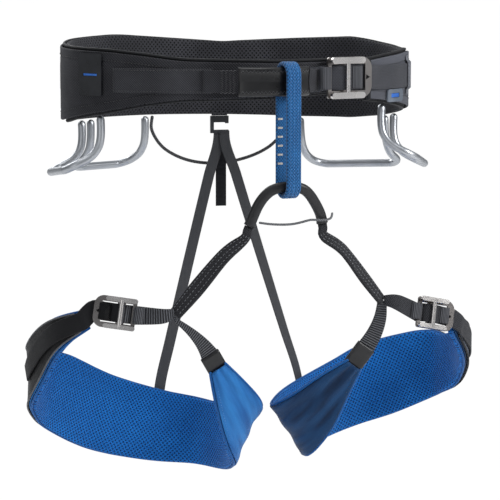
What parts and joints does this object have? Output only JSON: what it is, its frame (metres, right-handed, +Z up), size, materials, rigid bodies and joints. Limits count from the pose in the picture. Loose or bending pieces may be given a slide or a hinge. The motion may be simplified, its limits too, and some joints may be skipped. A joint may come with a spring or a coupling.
{
  "type": "climbing harness",
  "caption": "Sit harness with a padded waist belt, two adjustable padded leg loops, a belay loop, double-back buckles, flexible gear loops, a haul loop and elastic rear risers.",
  "frame": {"origin": "centre of the waist opening, at the middle height of the belt", "axes": "+Z up along the waist opening, +X towards the wearer's left, -Y towards the wearer's front"},
  "size_m": [0.4055, 0.257, 0.3918],
  "materials": {
    "liner_mesh": "rough",
    "shell_twill": "satin",
    "webbing": "woven",
    "ribbed_webbing": "woven",
    "coated_sleeve": "glossy",
    "bridge_cover": "satin",
    "belay_nylon": "woven",
    "pale_thread": "woven",
    "buckle_metal": "satin",
    "grey_plastic": "satin",
    "blue_plastic": "satin",
    "dark_plastic": "satin",
    "silver_tube": "satin",
    "black_cord": "braided",
    "grey_cord": "braided",
    "elastic": "woven",
    "pad_mesh": "perforated",
    "pad_face": "satin"
  },
  "bodies": {
    "waist_belt": {"waist_liner": "liner_mesh", "waist_shell": "shell_twill", "waist_webbing": "webbing", "waist_strap": "webbing", "strap_keeper": "elastic", "tie_in_loop": "webbing", "tie_in_sleeve": "coated_sleeve", "waist_buckle_plate": "buckle_metal", "clipper_patch_right": "coated_sleeve", "clipper_insert_right": "blue_plastic", "clipper_frame_left": "grey_plastic", "clipper_insert_left": "blue_plastic", "riser_anchor": "webbing", "riser_hook": "dark_plastic", "riser_tail": "webbing", "riser_right": "elastic", "riser_left": "elastic", "bridge_webbing": "webbing", "bridge_sleeve": "bridge_cover", "bridge_keeper_cord": "grey_cord"},
    "belay": {"belay_loop": "belay_nylon", "belay_loop_stitching": "pale_thread"},
    "gear_front_right": {"gear_loop_front_right": "silver_tube"},
    "gear_rear_right": {"gear_loop_rear_right": "silver_tube"},
    "gear_front_left": {"gear_loop_front_left": "silver_tube"},
    "gear_rear_left": {"gear_loop_rear_left": "silver_tube"},
    "haul": {"haul_loop": "black_cord"},
    "leg_loop_right": {"leg_webbing_right": "webbing", "leg_drop_webbing_right": "ribbed_webbing", "leg_tab_right": "coated_sleeve", "leg_pad_right": "pad_mesh", "leg_shell_right": "pad_face", "leg_strap_right": "webbing", "leg_cover_right": "shell_twill", "leg_buckle_plate_right": "buckle_metal"},
    "leg_loop_left": {"leg_webbing_left": "webbing", "leg_drop_webbing_left": "ribbed_webbing", "leg_tab_left": "coated_sleeve", "leg_pad_left": "pad_mesh", "leg_shell_left": "pad_face", "leg_strap_left": "webbing", "leg_cover_left": "shell_twill", "leg_buckle_plate_left": "buckle_metal"},
    "waist_slider": {"waist_buckle_slider": "buckle_metal"},
    "leg_slider_right": {"leg_buckle_slider_right": "buckle_metal"},
    "leg_slider_left": {"leg_buckle_slider_left": "buckle_metal"}
  },
  "joints": [
    {"name": "belay_twist", "type": "hinge", "parent": "waist_belt", "child": "belay", "pos_m": [0.01455, -0.12489, 0], "axis": [0, 0, 1], "range_deg": [-10, 10]},
    {"name": "gear_front_right_swing", "type": "hinge", "parent": "waist_belt", "child": "gear_front_right", "pos_m": [-0.12906, 0.0496, -0.0401], "axis": [0.0128, 0.994, -0.1085], "range_deg": [0, 70], "stiffness_Nm_per_rad": 0.05},
    {"name": "gear_rear_right_swing", "type": "hinge", "parent": "waist_belt", "child": "gear_rear_right", "pos_m": [-0.06329, 0.09088, -0.0401], "axis": [0.8743, 0.4853, 0], "range_deg": [0, 70], "stiffness_Nm_per_rad": 0.05},
    {"name": "gear_front_left_swing", "type": "hinge", "parent": "waist_belt", "child": "gear_front_left", "pos_m": [0.11436, -0.06401, -0.0221], "axis": [-0.4142, -0.8949, 0.1664], "range_deg": [0, 70], "stiffness_Nm_per_rad": 0.05},
    {"name": "gear_rear_left_swing", "type": "hinge", "parent": "waist_belt", "child": "gear_rear_left", "pos_m": [0.14423, 0.02387, -0.0383], "axis": [0.7211, -0.6907, 0.0552], "range_deg": [0, 70], "stiffness_Nm_per_rad": 0.05},
    {"name": "haul_swing", "type": "hinge", "parent": "waist_belt", "child": "haul", "pos_m": [-0.05611, 0.09302, -0.038], "axis": [0.9986, -0.0478, -0.0218], "range_deg": [0, 34]},
    {"name": "leg_right_swing", "type": "hinge", "parent": "waist_belt", "child": "leg_loop_right", "pos_m": [-0.01795, -0.12089, -0.1154], "axis": [1, 0, 0], "range_deg": [-20, 8], "stiffness_Nm_per_rad": 1.2, "springref_deg": 5.73, "deforming": ["riser_right"]},
    {"name": "leg_left_swing", "type": "hinge", "parent": "waist_belt", "child": "leg_loop_left", "pos_m": [0.04755, -0.11259, -0.1154], "axis": [1, 0, 0], "range_deg": [-20, 8], "stiffness_Nm_per_rad": 1.2, "springref_deg": 5.73, "deforming": ["riser_left"]},
    {"name": "waist_slider_tilt", "type": "hinge", "parent": "waist_belt", "child": "waist_slider", "pos_m": [0.07145, -0.10746, 0.0065], "axis": [0, 0, 1], "range_deg": [-6, 6]},
    {"name": "leg_slider_right_tilt", "type": "hinge", "parent": "leg_loop_right", "child": "leg_slider_right", "pos_m": [-0.12409, -0.09905, -0.18901], "axis": [-0.1613, -0.0859, -0.9832], "range_deg": [-6, 6]},
    {"name": "leg_slider_left_tilt", "type": "hinge", "parent": "leg_loop_left", "child": "leg_slider_left", "pos_m": [0.15204, -0.09902, -0.19856], "axis": [0.1695, 0.2156, 0.9616], "range_deg": [-6, 6]}
  ]
}
